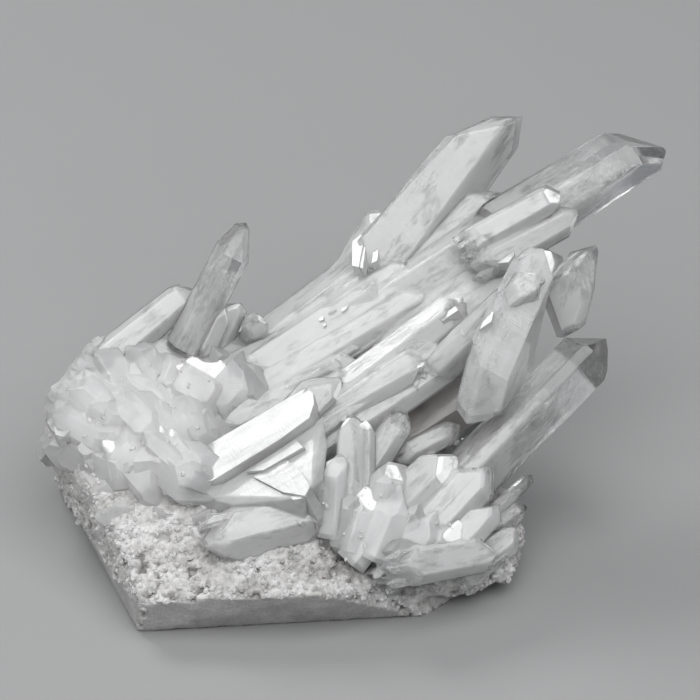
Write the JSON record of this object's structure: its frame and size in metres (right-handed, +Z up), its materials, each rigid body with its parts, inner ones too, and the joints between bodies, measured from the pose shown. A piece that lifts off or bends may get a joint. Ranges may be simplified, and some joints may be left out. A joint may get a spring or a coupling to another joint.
{
  "type": "quartz crystal cluster",
  "caption": "Cluster of clear to milky quartz crystals spraying out of a flat-cut block of granular vein quartz; stands on its sawn underside.",
  "frame": {"origin": "middle of the footprint box of the whole cluster, on the surface it stands on", "axes": "+Z up from the sawn underside; +X along the cluster's length, towards the tip of the long clear point; -Y towards the overhanging sawn front"},
  "size_m": [0.1622, 0.1086, 0.0959],
  "materials": {
    "vein_quartz": "sawn below, sugary and granular above",
    "clear_quartz": "clear, glossy natural faces",
    "milky_quartz": "milky, glossy natural faces"
  },
  "bodies": {
    "root": {"matrix": "vein_quartz", "front_tabular": "milky_quartz", "front_base_point": "milky_quartz", "front_dome_point": "milky_quartz", "upright_points": "milky_quartz", "main_spray": "milky_quartz", "crossing_blade": "milky_quartz", "right_crossing_point": "clear_quartz", "right_point": "clear_quartz", "lower_right_points": "milky_quartz", "side_point_upper": "clear_quartz", "side_point_lower": "clear_quartz", "gap_point_left": "clear_quartz", "gap_point_right": "clear_quartz", "under_spray_point": "milky_quartz", "long_point": "clear_quartz", "milky_point": "milky_quartz", "left_clear_point": "clear_quartz", "left_point": "clear_quartz", "left_stub": "milky_quartz", "left_side_points": "milky_quartz", "back_point_1": "milky_quartz", "back_point_2": "milky_quartz", "back_point_3": "milky_quartz", "back_point_4": "milky_quartz", "back_point_5": "milky_quartz", "back_point_6": "milky_quartz", "back_point_7": "milky_quartz"}
  },
  "joints": []
}
